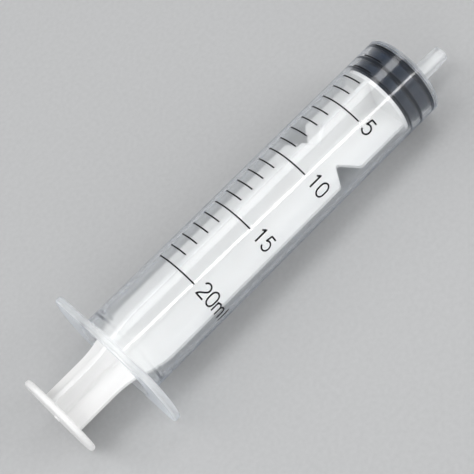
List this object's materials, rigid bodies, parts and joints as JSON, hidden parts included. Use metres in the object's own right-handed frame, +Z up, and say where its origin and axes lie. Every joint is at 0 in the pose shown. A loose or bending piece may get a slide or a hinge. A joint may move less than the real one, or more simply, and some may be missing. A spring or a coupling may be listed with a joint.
{
  "type": "luer slip syringe",
  "caption": "Disposable syringe lying on its finger flange: clear barrel with off-centre slip nozzle, black rubber stopper with sealing ribs, and white cross-finned plunger with thumb disc.",
  "frame": {"origin": "on the surface that the syringe lies on, under the barrel's axis, halfway along the overall length", "axes": "+X along the barrel towards the nozzle, +Z up, away from the nozzle's side, with the flange's two wings along Y"},
  "size_m": [0.1232, 0.0376, 0.0224],
  "materials": {
    "clear_plastic": "clear, faintly cloudy polypropylene with a soft gloss",
    "black_rubber": "siliconed black rubber",
    "white_plastic": "white moulded plastic with a satin gloss",
    "black_ink": "thin black printing ink of the volume scale"
  },
  "bodies": {
    "barrel": {"barrel": "clear_plastic"},
    "stopper": {"stopper": "black_rubber"},
    "plunger": {"plunger": "white_plastic"}
  },
  "joints": [
    {"name": "plunger_slide", "type": "slide", "parent": "barrel", "child": "stopper", "axis": [-1, 0, 0], "range_m": [0, 0.0787]},
    {"name": "plunger_turn", "type": "hinge", "parent": "stopper", "child": "plunger", "pos_m": [0.04043, 0, 0.0112], "axis": [1, 0, 0], "continuous": true}
  ]
}
